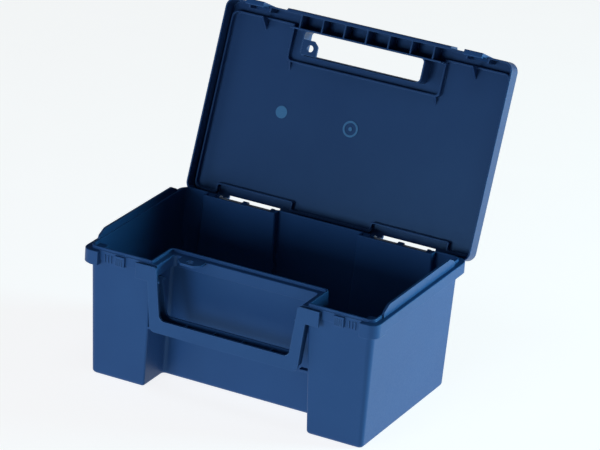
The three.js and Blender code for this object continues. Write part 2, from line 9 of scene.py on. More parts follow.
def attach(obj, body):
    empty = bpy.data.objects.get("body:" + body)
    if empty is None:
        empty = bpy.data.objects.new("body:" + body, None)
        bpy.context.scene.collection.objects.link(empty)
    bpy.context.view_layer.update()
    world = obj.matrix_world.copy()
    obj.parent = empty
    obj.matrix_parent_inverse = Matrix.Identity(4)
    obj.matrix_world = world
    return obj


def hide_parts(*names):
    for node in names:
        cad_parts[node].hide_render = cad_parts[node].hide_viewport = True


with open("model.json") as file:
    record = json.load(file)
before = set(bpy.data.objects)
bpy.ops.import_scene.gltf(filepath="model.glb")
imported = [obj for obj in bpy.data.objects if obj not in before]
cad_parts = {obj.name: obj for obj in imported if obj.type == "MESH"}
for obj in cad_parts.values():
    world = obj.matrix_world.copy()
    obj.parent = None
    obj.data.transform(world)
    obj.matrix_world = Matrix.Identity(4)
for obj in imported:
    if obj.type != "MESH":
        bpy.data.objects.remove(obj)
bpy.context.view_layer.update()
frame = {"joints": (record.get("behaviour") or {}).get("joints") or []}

# ---- Camera ----
# The open box is turned about a quarter of the way to its right side and is seen from a little above,
# with a long lens, so its sides stay nearly parallel.
AIM = Vector((0.0238, 0, 0.1699))
AZIMUTH = math.radians(26.28)
ELEVATION = math.radians(22.37)
ROLL = math.radians(4.0)
DISTANCE = 3.586
LENS = 223.2

away = Vector((
    math.sin(AZIMUTH) * math.cos(ELEVATION),
    -math.cos(AZIMUTH) * math.cos(ELEVATION),
    math.sin(ELEVATION),
))
level = Vector((math.cos(AZIMUTH), math.sin(AZIMUTH), 0))
upright = away.cross(level)
right = level * math.cos(ROLL) + upright * math.sin(ROLL)
up = upright * math.cos(ROLL) - level * math.sin(ROLL)
turned = Matrix((right, up, away)).transposed().to_4x4()
camera = bpy.data.objects.new("camera", bpy.data.cameras.new("camera"))
camera.data.lens = LENS
camera.data.clip_end = 100
camera.matrix_world = Matrix.Translation(AIM + away * DISTANCE) @ turned
bpy.context.scene.collection.objects.link(camera)
bpy.context.scene.camera = camera
bpy.context.scene.view_settings.view_transform = "Standard"

# ---- Tub ----
# The tub is one injection moulding in dark blue polypropylene: a drafted bin with a bay in its front for a
# hand, a downturned rim all round, and a rib on top of its walls that the lid seals against.
MM = 0.001
TUB_WIDTH = 308  # over the walls at the rim
TUB_DEPTH = 188
TUB_HEIGHT = 134
WALL_DRAFT = 5  # how far each wall leans in from the rim to the floor
WALL = 2
FLOOR_THICKNESS = 2.4
FOOT_ROUND = 4
WALL_CORNER = 7
FLANGE_REACH = 6
FLANGE_THICKNESS = 2.2
SKIRT_DEPTH = 12
SEAL_RIB_HEIGHT = 3
BAY_WIDTH = 169
BAY_DEPTH = 39
BAY_CORNER = 4
HINGE_HALF = 29  # from a hinge's middle to its end lugs
HINGE_LUG = 3.4
HINGE_RECESS = 9  # how far the back wall steps in round each hinge
HINGE_SIDE_INSET = 28
CLEARANCE = 0.6  # between pieces that move past each other
SEAT_GAP = 0.3  # between pieces that touch
ROOT = 0.6  # how deep a rib or a block is rooted in what it stands on

RIM_FRONT = -TUB_DEPTH / 2 - FLANGE_REACH
RIM_BACK = TUB_DEPTH / 2 + FLANGE_REACH
RIM_SIDE = TUB_WIDTH / 2 + FLANGE_REACH
WALL_FRONT = -TUB_DEPTH / 2
BAY_BACK = WALL_FRONT + BAY_DEPTH
RECESS_HALF = HINGE_HALF + HINGE_LUG + CLEARANCE + FLANGE_REACH
HINGE_CENTRE = TUB_WIDTH / 2 - HINGE_SIDE_INSET - RECESS_HALF


def rounded(corners, steps=5, closed=True):
    """Corners (x, y, radius) as a line whose corners are arcs. The ends of an open line stay as they are."""
    line = []
    for i, (x, y, radius) in enumerate(corners):
        here = Vector((x, y))
        if not closed and i in (0, len(corners) - 1):
            line.append(here)
            continue
        before = (Vector(corners[i - 1][:2]) - here).normalized()
        after = (Vector(corners[(i + 1) % len(corners)][:2]) - here).normalized()
        half = before.angle(after) / 2
        middle = here + (before + after).normalized() * (radius / math.sin(half))
        start = here + before * (radius / math.tan(half)) - middle
        end = here + after * (radius / math.tan(half)) - middle
        first = math.atan2(start.y, start.x)
        turn = math.remainder(math.atan2(end.y, end.x) - first, math.tau)
        for k in range(steps + 1):
            angle = first + turn * k / steps
            line.append(middle + radius * Vector((math.cos(angle), math.sin(angle))))
    return line


def bayed_outline(plan, inset):
    """A plan with the hand bay in its front and the hinge recesses in its back, drawn in by inset."""
    corner = max(WALL_CORNER - inset / 2, 0.5)
    small = 2
    x = plan["side"] - inset
    y = plan["back"] - inset
    front = plan["front"] + inset
    bay = plan["bay_half"] + inset
    bay_back = plan["bay_back"] + inset
    near = HINGE_CENTRE - plan["recess_half"] - inset
    far = HINGE_CENTRE + plan["recess_half"] + inset
    step = y - HINGE_RECESS
    half = [
        (bay, bay_back, BAY_CORNER), (bay, front, small), (x, front, corner), (x, y, corner),
        (far, y, small), (far, step, small), (near, step, small), (near, y, small),
    ]
    return rounded(half + [(-px, py, radius) for px, py, radius in reversed(half)])


def tub_outline(inset):
    """The tub's plan, drawn in by inset."""
    plan = {
        "side": TUB_WIDTH / 2, "front": WALL_FRONT, "back": TUB_DEPTH / 2,
        "bay_half": BAY_WIDTH / 2, "bay_back": BAY_BACK, "recess_half": RECESS_HALF,
    }
    return bayed_outline(plan, inset)


def show(mesh, name):
    """A bmesh in millimetres as an object in metres."""
    bmesh.ops.scale(mesh, vec=(MM, MM, MM), verts=mesh.verts)
    data = bpy.data.meshes.new(name)
    mesh.to_mesh(data)
    mesh.free()
    piece = bpy.data.objects.new(name, data)
    bpy.context.scene.collection.objects.link(piece)
    return piece


def skin(rings, loop=False):
    """A closed skin through rings of 3-D points. A loop joins its last ring to its first, with no caps."""
    mesh = bmesh.new()
    rows = [[mesh.verts.new(point) for point in ring] for ring in rings]
    for low, high in zip(rows, rows[1:] + (rows[:1] if loop else [])):
        for i in range(len(low)):
            mesh.faces.new((low[i - 1], low[i], high[i], high[i - 1]))
    if not loop:
        mesh.faces.new(rows[0][::-1])
        mesh.faces.new(rows[-1])
    return show(mesh, "skin")


def sweep(section, outline_at, loop=False):
    """A section of (inset, height) points carried round an outline."""
    return skin([[(p.x, p.y, z) for p in outline_at(inset)] for inset, z in section], loop)


def pulled(outline, start, end, axis="Z", edge=0.4):
    """An outline pulled from start to end along an axis, with its end edges rounded."""
    mesh = bmesh.new()
    low = [mesh.verts.new((p[0], p[1], start)) for p in outline]
    high = [mesh.verts.new((p[0], p[1], end)) for p in outline]
    ends = [mesh.faces.new(low[::-1]), mesh.faces.new(high)]
    for i in range(len(low)):
        mesh.faces.new((low[i - 1], low[i], high[i], high[i - 1]))
    if edge:
        rims = [e for face in ends for e in face.edges]
        bmesh.ops.bevel(mesh, geom=rims, offset=edge, segments=2, profile=0.5, affect="EDGES")
    if axis == "X":
        mesh.transform(Matrix(((0, 0, 1, 0), (1, 0, 0, 0), (0, 1, 0, 0), (0, 0, 0, 1))))
    if axis == "Y":
        mesh.transform(Matrix(((1, 0, 0, 0), (0, 0, 1, 0), (0, 1, 0, 0), (0, 0, 0, 1))))
        bmesh.ops.reverse_faces(mesh, faces=mesh.faces)
    return show(mesh, "pulled")


def block(x, y, z, edge=0.4):
    """A box with its edges rounded."""
    mesh = bmesh.new()
    bmesh.ops.create_cube(mesh, size=1)
    bmesh.ops.scale(mesh, vec=(x[1] - x[0], y[1] - y[0], z[1] - z[0]), verts=mesh.verts)
    middle = Vector((x[0] + x[1], y[0] + y[1], z[0] + z[1])) / 2
    bmesh.ops.translate(mesh, vec=middle, verts=mesh.verts)
    if edge:
        bmesh.ops.bevel(mesh, geom=mesh.edges[:], offset=edge, segments=2, profile=0.5, affect="EDGES")
    return show(mesh, "block")


def circle(x, y, diameter, steps=32):
    """A round outline."""
    return [
        (x + diameter / 2 * math.cos(math.tau * k / steps), y + diameter / 2 * math.sin(math.tau * k / steps))
        for k in range(steps)
    ]


def both(make):
    """What make builds on the right, side 1, and on the left, side -1."""
    return [make(1), make(-1)]


def span(side, near, far):
    """A stretch of X on one side of the box."""
    return (near, far) if side > 0 else (-far, -near)


def settle(piece, name):
    """The piece with its modifiers worked into a plain mesh."""
    graph = bpy.context.evaluated_depsgraph_get()
    data = bpy.data.meshes.new_from_object(piece.evaluated_get(graph), depsgraph=graph)
    bpy.data.objects.remove(piece)
    data.name = name
    settled = bpy.data.objects.new(name, data)
    bpy.context.scene.collection.objects.link(settled)
    return settled


def moulding(name, body, joined=(), cut=()):
    """One closed body, with some solids joined to it and then others cut out of it."""
    for operation, tools in (("UNION", joined), ("DIFFERENCE", cut)):
        for tool in tools:
            boolean = body.modifiers.new("boolean", "BOOLEAN")
            boolean.operation = operation
            boolean.object = tool
            boolean.solver = "MANIFOLD"
    made = settle(body, name)
    for tool in [*joined, *cut]:
        bpy.data.objects.remove(tool)
    return made


def add_node(tree, kind, settings=None, links=None):
    """Adds a node, sets its options and sockets, and joins its sockets to others' outputs."""
    node = tree.nodes.new(kind)
    for name, value in (settings or {}).items():
        if isinstance(name, int) or name in node.inputs:
            node.inputs[name].default_value = value
        else:
            setattr(node, name, value)
    for socket, source in (links or {}).items():
        tree.links.new(source, node.inputs[socket])
    return node


def linear(hex_colour):
    """An sRGB hex colour as the linear one that shaders take."""
    channels = [int(hex_colour[i:i + 2], 16) / 255 for i in (1, 3, 5)]
    return (*(c / 12.92 if c <= 0.04045 else ((c + 0.055) / 1.055) ** 2.4 for c in channels), 1)


def row_of_copies():
    """A Geometry Nodes tree that sets copies of a mesh in a straight row."""
    tree = bpy.data.node_groups.new("row_of_copies", "GeometryNodeTree")
    face = tree.interface
    face.new_socket("Geometry", in_out="INPUT", socket_type="NodeSocketGeometry")
    face.new_socket("Count", in_out="INPUT", socket_type="NodeSocketInt")
    face.new_socket("Step", in_out="INPUT", socket_type="NodeSocketVector")
    face.new_socket("Material", in_out="INPUT", socket_type="NodeSocketMaterial")
    face.new_socket("Geometry", in_out="OUTPUT", socket_type="NodeSocketGeometry")
    given = add_node(tree, "NodeGroupInput").outputs
    line = add_node(tree, "GeometryNodeMeshLine", {"mode": "OFFSET"}, {
        "Count": given["Count"], "Offset": given["Step"],
    })
    copies = add_node(tree, "GeometryNodeInstanceOnPoints", None, {
        "Points": line.outputs["Mesh"], "Instance": given["Geometry"],
    })
    real = add_node(tree, "GeometryNodeRealizeInstances", None, {"Geometry": copies.outputs["Instances"]})
    painted = add_node(tree, "GeometryNodeSetMaterial", None, {
        "Geometry": real.outputs["Geometry"], "Material": given["Material"],
    })
    add_node(tree, "NodeGroupOutput", None, {"Geometry": painted.outputs["Geometry"]})
    return tree


def row(first, count, step, material):
    """Copies of the first rib, set out in a row by the tree above, as one plain mesh."""
    nodes = first.modifiers.new("row", "NODES")
    nodes.node_group = copies_tree
    values = {"Count": count, "Step": [s * MM for s in step], "Material": material}
    for item in copies_tree.interface.items_tree:
        if item.in_out == "INPUT" and item.name in values:
            nodes[item.identifier] = values[item.name]
    return settle(first, "row")


def polypropylene(name, deep, light, gloss, grain_depth):
    """Moulded polypropylene: a soft waxy sheen, the fine grain of a spark-eroded mould, faint flow marks
    where the melt ran, and a painted highlight that makes the edges a little lighter."""
    GRAIN = 0.7  # real mould grain is about 0.1 mm across, and is drawn coarser so that it shows
    FLOW = 55  # size of the cloudy flow marks
    SCUFF = 9  # length of the scuffs
    EDGE = 1.1  # width of the painted highlight along the edges
    material = bpy.data.materials.new(name)
    material.use_nodes = True
    tree = material.node_tree
    tree.nodes.clear()
    place = add_node(tree, "ShaderNodeTexCoord").outputs["Object"]
    flow = add_node(tree, "ShaderNodeTexNoise", {"Scale": 1 / (FLOW * MM), "Detail": 3}, {"Vector": place})
    grain = add_node(tree, "ShaderNodeTexNoise", {"Scale": 1 / (GRAIN * MM), "Detail": 2}, {"Vector": place})
    along = add_node(tree, "ShaderNodeMapping", {"Scale": (1, 9, 4)}, {"Vector": place})
    scuff = add_node(tree, "ShaderNodeTexNoise", {"Scale": 1 / (SCUFF * MM), "Detail": 6, "Roughness": 0.7}, {
        "Vector": along.outputs["Vector"],
    })
    # Painted highlight: where the bevelled normal turns away from the true normal, along the edges, the
    # colour is mixed towards pale blue #5f86b4.
    rounded_off = add_node(tree, "ShaderNodeBevel", {"samples": 6, "Radius": EDGE * MM})
    true = add_node(tree, "ShaderNodeNewGeometry").outputs["Normal"]
    facing = add_node(tree, "ShaderNodeVectorMath", {"operation": "DOT_PRODUCT"}, {
        0: rounded_off.outputs["Normal"], 1: true,
    })
    painted_highlight_mask = add_node(tree, "ShaderNodeMapRange", {"From Min": 0.995, "From Max": 0.8, "To Max": 0.3}, {
        "Value": facing.outputs["Value"],
    })
    body = add_node(tree, "ShaderNodeMix", {"data_type": "RGBA", 6: linear(deep), 7: linear(light)}, {
        0: flow.outputs["Fac"],
    })
    highlighted_colour = add_node(tree, "ShaderNodeMix", {"data_type": "RGBA", 7: linear("#5f86b4")}, {
        0: painted_highlight_mask.outputs["Result"], 6: body.outputs[2],
    })
    marks = add_node(tree, "ShaderNodeMapRange", {
        "From Min": 0.35, "From Max": 0.75, "To Min": gloss - 0.05, "To Max": gloss + 0.12,
    }, {"Value": scuff.outputs["Fac"]})
    bump = add_node(tree, "ShaderNodeBump", {"Strength": 0.35, "Distance": grain_depth * MM}, {
        "Height": grain.outputs["Fac"],
    })
    surface = add_node(tree, "ShaderNodeBsdfPrincipled", {
        "IOR": 1.49, "Specular IOR Level": 0.3, "Specular Tint": (0.35, 0.65, 1, 1),
    }, {
        "Base Color": highlighted_colour.outputs[2], "Roughness": marks.outputs["Result"], "Normal": bump.outputs["Normal"],
    })
    add_node(tree, "ShaderNodeOutputMaterial", None, {"Surface": surface.outputs["BSDF"]})
    return material


def finish_surface(piece, material, crease=50):
    """One material, and smooth faces with creases where they really turn."""
    piece.data.materials.clear()
    piece.data.materials.append(material)
    piece.data.polygons.foreach_set("material_index", [0] * len(piece.data.polygons))
    piece.data.shade_smooth()
    piece.data.set_sharp_from_angle(angle=math.radians(crease))
    weighted = piece.modifiers.new("even_shading", "WEIGHTED_NORMAL")
    weighted.keep_sharp = True


copies_tree = row_of_copies()
tub_blue = polypropylene("tub_polypropylene", "#224475", "#284d7e", 0.4, 0.12)


def draft_at(z):
    """How far the outer wall has leaned in at height z."""
    return WALL_DRAFT * (1 - z / TUB_HEIGHT)


def tub_bin():
    """The bin with its rim and seal rib, as one section carried round the plan."""
    top = TUB_HEIGHT
    under = top - FLANGE_THICKNESS
    skirt = top - SKIRT_DEPTH
    rib = top + SEAL_RIB_HEIGHT
    floor = FLOOR_THICKNESS
    return sweep(rounded([
        (WALL_DRAFT + 2 * FOOT_ROUND, 0, 0),
        (WALL_DRAFT, 0, FOOT_ROUND),
        (draft_at(under), under, 1),
        (WALL - FLANGE_REACH, under, 0.8),
        (WALL - FLANGE_REACH, skirt, 0.6),
        (-FLANGE_REACH, skirt, 0.6),
        (-FLANGE_REACH, top, 1),
        (draft_at(rib), top, 0.5),
        (draft_at(rib), rib, 0.7),
        (draft_at(rib) + WALL, rib, 0.7),
        (draft_at(floor) + WALL, floor, FOOT_ROUND),
        (WALL_DRAFT + 2 * FOOT_ROUND, floor, 0),
    ], closed=False), tub_outline)


PLATE_OVER_BAY = 2.4  # the handle's front plate runs on past the bay's side
EAR_WIDTH = 13
PLATE_HALF = BAY_WIDTH / 2 + PLATE_OVER_BAY
EAR_END = PLATE_HALF + EAR_WIDTH
CORNER_BLOCK_WIDTH = 18.1
CORNER_BLOCK_LENGTH = 22
CORNER_BLOCK_DEPTH = 14.5
ZONE_PROUD = 1
ZONE_DEPTH = 9.5
ZONE_END = RIM_SIDE - CORNER_BLOCK_WIDTH
ZONE_FACE = WALL_FRONT - ZONE_PROUD
ZONE_BOTTOM = TUB_HEIGHT - ZONE_DEPTH
LATCH_CENTRE = (EAR_END + ZONE_END) / 2
CATCH_WIDTH = 11
CATCH_HEIGHT = 10.5
CATCH_PROUD = 2.7
CATCH_DROP = 0.5
CATCH_OFFSET = 2  # the pad sits a little nearer the middle than the latch
CATCH_GROOVES = 4
GROOVE_PITCH = 2.1
GROOVE_WIDTH = 0.9
ZONE_RIBS = 3
ZONE_RIB_PITCH = 3.4
ZONE_RIB_WIDTH = 1.2
ZONE_RIB_GAP = 4
CATCH_TOP = TUB_HEIGHT - CATCH_DROP
CATCH_START = LATCH_CENTRE - CATCH_WIDTH / 2 - CATCH_OFFSET


def catch_pad(side):
    """The pad that a latch hooks under, with grooves down its face."""
    pad = block(
        span(side, CATCH_START, CATCH_START + CATCH_WIDTH),
        (ZONE_FACE - CATCH_PROUD, WALL_FRONT),
        (CATCH_TOP - CATCH_HEIGHT, CATCH_TOP),
        0.6,
    )
    margin = (CATCH_WIDTH - (CATCH_GROOVES - 1) * GROOVE_PITCH - GROOVE_WIDTH) / 2
    first = span(side, CATCH_START, CATCH_START + CATCH_WIDTH)[0] + margin
    groove = block(
        (first, first + GROOVE_WIDTH),
        (ZONE_FACE - CATCH_PROUD - 1, ZONE_FACE - CATCH_PROUD + 0.7),
        (CATCH_TOP - CATCH_HEIGHT + 1.2, CATCH_TOP - 2),
        0.2,
    )
    return moulding("pad", pad, (), [row(groove, CATCH_GROOVES, (GROOVE_PITCH, 0, 0), tub_blue)])


def latch_zone(side):
    """The strip of rim behind a latch, with three short ribs beside the pad."""
    strip = block(span(side, EAR_END, ZONE_END), (ZONE_FACE, WALL_FRONT + 1), (ZONE_BOTTOM, TUB_HEIGHT), 0.3)
    near = CATCH_START + CATCH_WIDTH + ZONE_RIB_GAP
    first = span(side, near, near + ZONE_RIB_WIDTH)
    rib = block(first, (ZONE_FACE - 1, WALL_FRONT), (ZONE_BOTTOM - 1, TUB_HEIGHT - 3), 0.3)
    ribs = row(rib, ZONE_RIBS, (side * ZONE_RIB_PITCH, 0, 0), tub_blue)
    return moulding("zone", strip, [ribs, catch_pad(side)])


def corner_block(side):
    """The deeper block at each end of the rim's front, rounded below."""
    back = RIM_FRONT + CORNER_BLOCK_LENGTH
    outline = rounded([
        (ZONE_END, RIM_FRONT, 1), (RIM_SIDE, RIM_FRONT, 10), (RIM_SIDE, back, 1), (ZONE_END, back, 1),
    ])
    if side < 0:
        outline = [(-p.x, p.y) for p in reversed(outline)]
    return pulled(outline, TUB_HEIGHT - CORNER_BLOCK_DEPTH, CATCH_TOP, "Z", 0.9)


def guide_wall(side):
    """The raised wall on a short side that guides the lid, with a ramp at each end."""
    end_inset = 17.5
    height = 10.5
    ramp = 11
    thickness = 1.8
    end = TUB_DEPTH / 2 - end_inset
    high = TUB_HEIGHT + height
    shoulder = high - height / 2
    outline = rounded([
        (-end, TUB_HEIGHT - 1, 0.4), (end, TUB_HEIGHT - 1, 0.4), (end, shoulder, 2.5),
        (end - ramp, high, 3), (ramp - end, high, 3), (-end, shoulder, 2.5),
    ])
    return pulled(outline, *span(side, TUB_WIDTH / 2 - 0.5, TUB_WIDTH / 2 + thickness), "X", 0.6)


def hinge_knuckle(side):
    """The knuckle that holds the pin between a hinge's two windows, on its web from the rim."""
    half = 3
    web_half = 2.5
    x = span(side, HINGE_CENTRE - half, HINGE_CENTRE + half)
    web = block(x, (RIM_BACK - HINGE_RECESS - 1, HINGE_Y), (HINGE_Z - web_half, HINGE_Z + web_half), 0.4)
    barrel = pulled(circle(HINGE_Y, HINGE_Z, HINGE_BARREL), *x, "X", 0.4)
    return moulding("knuckle", barrel, [web])


def handle_rest(side):
    """The small shelf under each of the handle's lower corners."""
    inset = 3
    depth = 6
    thickness = 2.4
    z = TUB_HEIGHT - HANDLE_DROP - SEAT_GAP
    near = BAY_WIDTH / 2 - ARM_TAPER
    far = BAY_WIDTH / 2 + draft_at(z) + 1
    y = WALL_FRONT + inset
    return block(span(side, near, far), (y, y + depth), (z - thickness, z), 0.5)


HINGE_INSET = 1.5
HINGE_DROP = 3
HINGE_Y = RIM_BACK - HINGE_INSET
HINGE_Z = TUB_HEIGHT - HINGE_DROP
HINGE_BARREL = 6.5
PIN = 3
PIN_PLAY = 0.15
HANDLE_DROP = 67.5
ARM_TAPER = 6.5
EYE_DIAMETER = 7
EYE_INSET = 27.5  # from the bay's side
EYE_REACH = 7.5  # from the rim of the bay's back
EYE_X = EYE_INSET - BAY_WIDTH / 2
EYE_Y = BAY_BACK - FLANGE_REACH - EYE_REACH

tab_half = 13
tab_reach = 15
tab_slope = 6
tab_left = EYE_X - tab_half
tab_right = EYE_X + tab_half
tab_root = BAY_BACK - FLANGE_REACH + 1
tab_tip = BAY_BACK - FLANGE_REACH - tab_reach
tab = pulled(rounded([
    (tab_left, tab_root, 0.3), (tab_left, tab_tip + tab_slope, 3), (tab_left + tab_slope, tab_tip, 3),
    (tab_right - tab_slope, tab_tip, 3), (tab_right, tab_tip + tab_slope, 3), (tab_right, tab_root, 0.3),
]), TUB_HEIGHT - FLANGE_THICKNESS, TUB_HEIGHT, "Z", 0.6)
front_cuts = both(lambda side: block(
    span(side, BAY_WIDTH / 2 - FLANGE_REACH - 1, ZONE_END),
    (RIM_FRONT - 1, ZONE_FACE),
    (TUB_HEIGHT - CORNER_BLOCK_DEPTH - 1, TUB_HEIGHT + 1),
    0,
))
bin_body = moulding("bin", tub_bin(), (), front_cuts)
tub = moulding(
    "tub_moulding",
    bin_body,
    [
        *both(latch_zone), *both(corner_block), *both(guide_wall),
        *both(hinge_knuckle), *both(handle_rest), tab,
    ],
    [
        *both(lambda side: pulled(
            circle(HINGE_Y, HINGE_Z, PIN + 2 * PIN_PLAY),
            *span(side, HINGE_CENTRE - 10, HINGE_CENTRE + 10), "X", 0,
        )),
        pulled(circle(EYE_X, EYE_Y, EYE_DIAMETER), TUB_HEIGHT - 6, TUB_HEIGHT + 6, "Z", 0),
    ],
)
finish_surface(tub, tub_blue)
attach(tub, "tub")
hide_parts("tub")

# ---- Front handle ----
# The handle is a U moulded in the same polypropylene: a flat plate in front with an ear at the top of each
# arm, and behind it a hollow body, open to the inside of the U and stiffened by four cross ribs.
HANDLE_WALL = 2.4
HANDLE_DEPTH = 16
GRIP_HEIGHT = 13.4
ARM_WIDTH = 10
ARM_OVERHANG = 3.5
HANDLE_CORNER = 5
EAR_HEIGHT = 16.5
handle_bottom = TUB_HEIGHT - HANDLE_DROP
body_top = TUB_HEIGHT - FLANGE_THICKNESS - SKIRT_DEPTH
handle_blue = polypropylene("handle_polypropylene", "#234575", "#294e7e", 0.42, 0.1)


def handle_u(half, width, inset, top, corner, top_corner=0.3):
    """The U seen from the front; its top is open."""
    outer = half - inset
    inner = half - width
    grip = handle_bottom + GRIP_HEIGHT
    foot = handle_bottom + inset
    return rounded([
        (ARM_TAPER - outer, foot, corner), (outer - ARM_TAPER, foot, corner),
        (outer, top, 0.3), (inner, top, top_corner),
        (inner - ARM_TAPER, grip, corner), (ARM_TAPER - inner, grip, corner),
        (-inner, top, top_corner), (-outer, top, 0.3),
    ])


plate_top = TUB_HEIGHT - SEAT_GAP
plate = pulled(
    handle_u(PLATE_HALF, ARM_WIDTH, 0, plate_top, HANDLE_CORNER, 2.5),
    RIM_FRONT, RIM_FRONT + HANDLE_WALL, "Y", 0.5,
)
ears = both(lambda side: block(
    span(side, PLATE_HALF - 2, EAR_END - SEAT_GAP),
    (RIM_FRONT, RIM_FRONT + HANDLE_WALL),
    (TUB_HEIGHT - EAR_HEIGHT, plate_top),
    0.5,
))
body_half = PLATE_HALF - ARM_OVERHANG
body_back = RIM_FRONT + HANDLE_DEPTH
hollow_body = pulled(
    handle_u(body_half, ARM_WIDTH - ARM_OVERHANG, 0, body_top, HANDLE_CORNER - 1),
    RIM_FRONT + HANDLE_WALL / 2, body_back, "Y", 0.5,
)
ties = both(lambda side: block(
    span(side, BAY_WIDTH / 2 - FLANGE_REACH - ARM_WIDTH / 2, BAY_WIDTH / 2 - SEAT_GAP - 0.8),
    (RIM_FRONT + HANDLE_WALL / 2, body_back),
    (body_top - HANDLE_WALL, body_top),
    0.5,
))
channel = pulled(
    handle_u(body_half, ARM_WIDTH + HANDLE_CORNER, HANDLE_WALL, body_top + 1, HANDLE_CORNER - HANDLE_WALL),
    RIM_FRONT + HANDLE_WALL, body_back - HANDLE_WALL, "Y", 0,
)
rib_pitch = 31
rib_start = -1.5 * rib_pitch
cross_rib = block(
    (rib_start - 0.8, rib_start + 0.8),
    (RIM_FRONT + HANDLE_WALL / 2, body_back - HANDLE_WALL / 2),
    (handle_bottom + HANDLE_WALL / 2, handle_bottom + GRIP_HEIGHT - 3),
    0.3,
)
cross_ribs = row(cross_rib, 4, (rib_pitch, 0, 0), handle_blue)
hollowed = moulding("hollowed", hollow_body, ties, [channel])
handle = moulding("handle_moulding", hollowed, [plate, *ears, cross_ribs])
finish_surface(handle, handle_blue)
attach(handle, "tub")
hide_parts("carry_handle")

# ---- Hinge pins ----
# Each pin is a length of drawn steel rod, 3 mm thick, cut and tumbled so that its ends are a little rounded.
# It is pushed through the lid's lugs and the tub's knuckle.


def drawn_steel():
    """Drawn steel rod: bright, with fine lines along its length where it ran through the die."""
    LINES = 0.25  # spacing of the draw lines round the rod
    material = bpy.data.materials.new("drawn_steel")
    material.use_nodes = True
    tree = material.node_tree
    tree.nodes.clear()
    place = add_node(tree, "ShaderNodeTexCoord").outputs["Object"]
    along = add_node(tree, "ShaderNodeMapping", {"Scale": (0.02, 1, 1)}, {"Vector": place})
    lines = add_node(tree, "ShaderNodeTexNoise", {"Scale": 1 / (LINES * MM), "Detail": 4}, {
        "Vector": along.outputs["Vector"],
    })
    shade = add_node(tree, "ShaderNodeMix", {
        "data_type": "RGBA", 6: linear("#a9adb2"), 7: linear("#d5d8da"),
    }, {0: lines.outputs["Fac"]})
    polish = add_node(tree, "ShaderNodeMapRange", {"To Min": 0.22, "To Max": 0.42}, {
        "Value": lines.outputs["Fac"],
    })
    bump = add_node(tree, "ShaderNodeBump", {"Strength": 0.3, "Distance": 0.02 * MM}, {
        "Height": lines.outputs["Fac"],
    })
    surface = add_node(tree, "ShaderNodeBsdfPrincipled", {"Metallic": 1.0}, {
        "Base Color": shade.outputs[2],
        "Roughness": polish.outputs["Result"],
        "Normal": bump.outputs["Normal"],
    })
    add_node(tree, "ShaderNodeOutputMaterial", None, {"Surface": surface.outputs["BSDF"]})
    return material


steel = drawn_steel()
pin_half = HINGE_HALF + HINGE_LUG - SEAT_GAP
for side, hand in ((-1, "left"), (1, "right")):
    ends = span(side, HINGE_CENTRE - pin_half, HINGE_CENTRE + pin_half)
    pin = pulled(circle(HINGE_Y, HINGE_Z, PIN), *ends, "X", 0.4)
    pin.name = f"hinge_rod_{hand}"
    finish_surface(pin, steel)
    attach(pin, "tub")
    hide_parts(f"hinge_pin_{hand}")

# ---- Lid ----
# The lid is one polypropylene moulding: a shallow tray turned over, with a low rib inside that follows the
# tub's rim, a hand hole, a ribbed grip bar over the handle, and lugs that hang on the hinge pins.
# It is built shut, and its mesh is then turned open about the hinge.
LID_HEIGHT = 18.5
LID_PLATE = 2.2
LID_SKIRT = 1.8
LID_CORNER = 10
INNER_RIB = 1.8
INNER_RIB_HEIGHT = 5.5
INNER_RIB_OUTSET = 1.2  # from the tub's sides and back out to the rib
INNER_RIB_FRONT_INSET = 4.8
INNER_RIB_BAY_INSET = 0.9
INNER_RIB_BAY_GAP = 2.4
INNER_RIB_HALF = BAY_WIDTH / 2 - INNER_RIB_BAY_INSET  # half the width between the rib's sides in the bay
GUSSET = 1.8
GUSSET_INSET = 4  # from the bay rib's outer face in to the gusset at its corner
GUSSET_LENGTH = 9.5
LATCH_GUSSET_OFFSET = 4.2
LATCH_GUSSET_LENGTH = 13
COLLAR = 1.8
LID_SIDE_INSET = 1
LID_FRONT_OVERHANG = 1
LID_BACK_INSET = 0.5
lid_bottom = TUB_HEIGHT + SEAT_GAP
lid_top = lid_bottom + LID_HEIGHT
underside = lid_top - LID_PLATE
lid_side = RIM_SIDE - LID_SIDE_INSET
lid_front = RIM_FRONT - LID_FRONT_OVERHANG
lid_back = RIM_BACK - LID_BACK_INSET
lid_blue = polypropylene("lid_polypropylene", "#213b67", "#274470", 0.34, 0.06)


def lid_outline(inset):
    """The lid's plan, drawn in by inset."""
    corner = max(LID_CORNER - inset, 1)
    x = lid_side - inset
    front = lid_front + inset
    back = lid_back - inset
    return rounded([(-x, front, corner), (x, front, corner), (x, back, corner), (-x, back, corner)], 8)


def lid_tray():
    """The plate and its skirt, as one section carried round the plan."""
    return sweep(rounded([
        (LID_CORNER, underside, 0),
        (LID_SKIRT, underside, 1.2),
        (LID_SKIRT, lid_bottom, 0.5),
        (0, lid_bottom, 0.5),
        (0.4, lid_top, 2.2),
        (LID_CORNER, lid_top, 0),
    ], closed=False), lid_outline)


rib_plan = {
    "side": TUB_WIDTH / 2 + INNER_RIB_OUTSET,
    "front": WALL_FRONT + INNER_RIB_FRONT_INSET,
    "back": TUB_DEPTH / 2 + INNER_RIB_OUTSET,
    "bay_half": INNER_RIB_HALF,
    "bay_back": BAY_BACK + INNER_RIB_BAY_GAP,
    "recess_half": RECESS_HALF + WALL + CLEARANCE,
}


def inner_rib():
    """The low loop of rib that stiffens the plate, a little thicker at its root."""
    root = underside + ROOT
    edge = underside - INNER_RIB_HEIGHT
    section = [(INNER_RIB + 0.2, root), *rounded([
        (INNER_RIB + 0.2, root, 0), (INNER_RIB, edge, 0.5), (0, edge, 0.5), (0, root, 0),
    ], 4, closed=False)[1:]]
    return sweep(section, lambda inset: bayed_outline(rib_plan, inset), loop=True)


